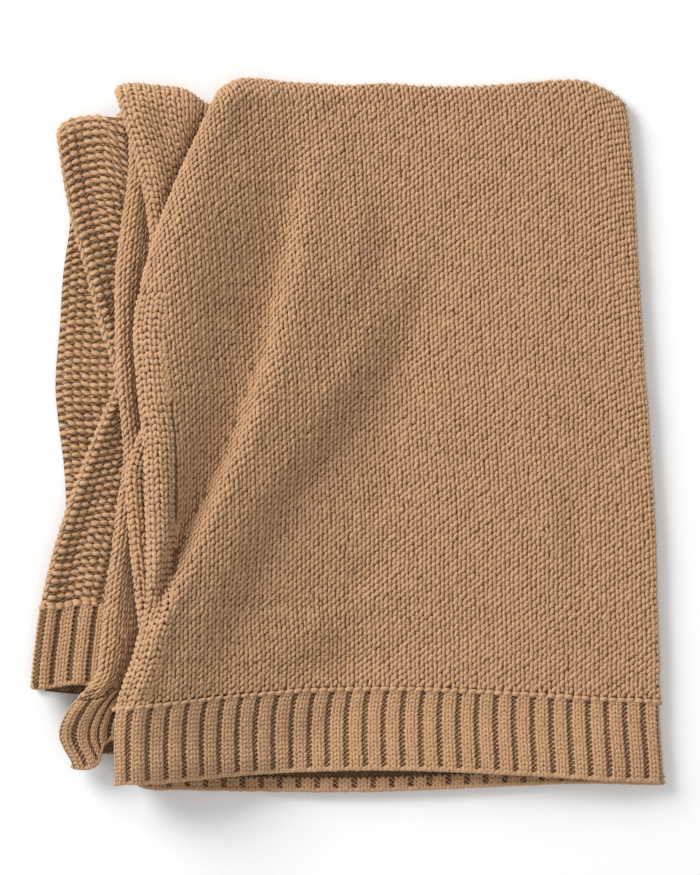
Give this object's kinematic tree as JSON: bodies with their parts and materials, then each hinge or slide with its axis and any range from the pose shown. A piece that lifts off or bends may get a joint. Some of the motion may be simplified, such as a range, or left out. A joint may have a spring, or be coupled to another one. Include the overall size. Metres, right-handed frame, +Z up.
{
  "type": "knitted blanket",
  "caption": "Chunky knitted throw with ribbed borders, pleated in width and folded in half, lying flat.",
  "frame": {"origin": "centre of the folded throw's footprint, on the surface that it lies on", "axes": "+Z up from the surface, +Y from the near hems to the far fold, +X across the throw towards its right-hand fold"},
  "size_m": [0.577, 0.6528, 0.0762],
  "materials": {
    "knit": "soft matt camel yarn in plain knit",
    "rib": "soft matt camel yarn in a two by two rib"
  },
  "bodies": {
    "root": {"knit_body": "knit", "rib_border_front": "rib", "rib_border_back": "rib"}
  },
  "joints": []
}
